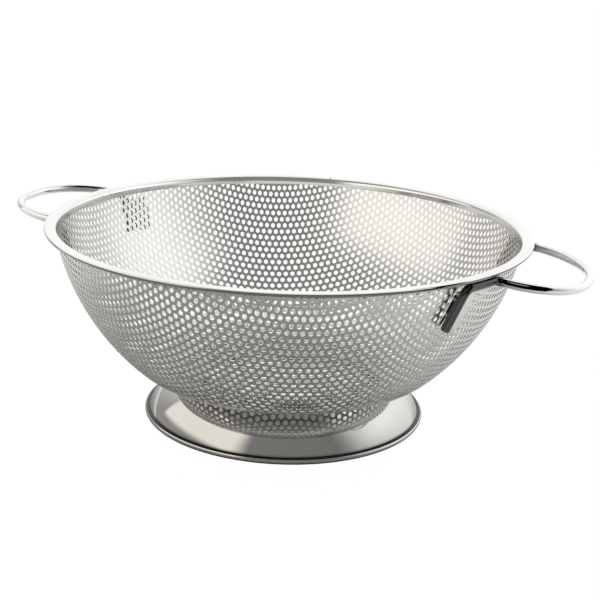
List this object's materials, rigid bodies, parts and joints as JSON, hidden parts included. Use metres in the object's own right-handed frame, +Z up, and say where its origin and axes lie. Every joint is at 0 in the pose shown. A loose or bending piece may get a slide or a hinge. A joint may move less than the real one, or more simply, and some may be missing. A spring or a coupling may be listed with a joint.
{
  "type": "footed colander",
  "caption": "Round stainless steel colander: a perforated drawn bowl with a folded rim strip, a flared polished foot ring and a bent wire loop handle on each side.",
  "frame": {"origin": "on the axis of the bowl, at the height of the table under the foot", "axes": "+Z up along the axis of the bowl, +X towards the right handle, +Y towards the back"},
  "size_m": [0.3502, 0.28, 0.1151],
  "materials": {
    "perforated_sheet": "satin",
    "rim_steel": "polished",
    "foot_steel": "mirror polished",
    "handle_wire": "polished",
    "plate_steel": "satin",
    "weld_metal": "dull"
  },
  "bodies": {
    "root": {"bowl": "perforated_sheet", "rim_band": "rim_steel", "rim_seam_weld": "weld_metal", "foot_ring": "foot_steel", "foot_welds": "weld_metal", "right_handle": "handle_wire", "left_handle": "handle_wire", "right_weld_plates": "plate_steel", "left_weld_plates": "plate_steel", "right_leg_welds": "weld_metal", "left_leg_welds": "weld_metal"}
  },
  "joints": []
}
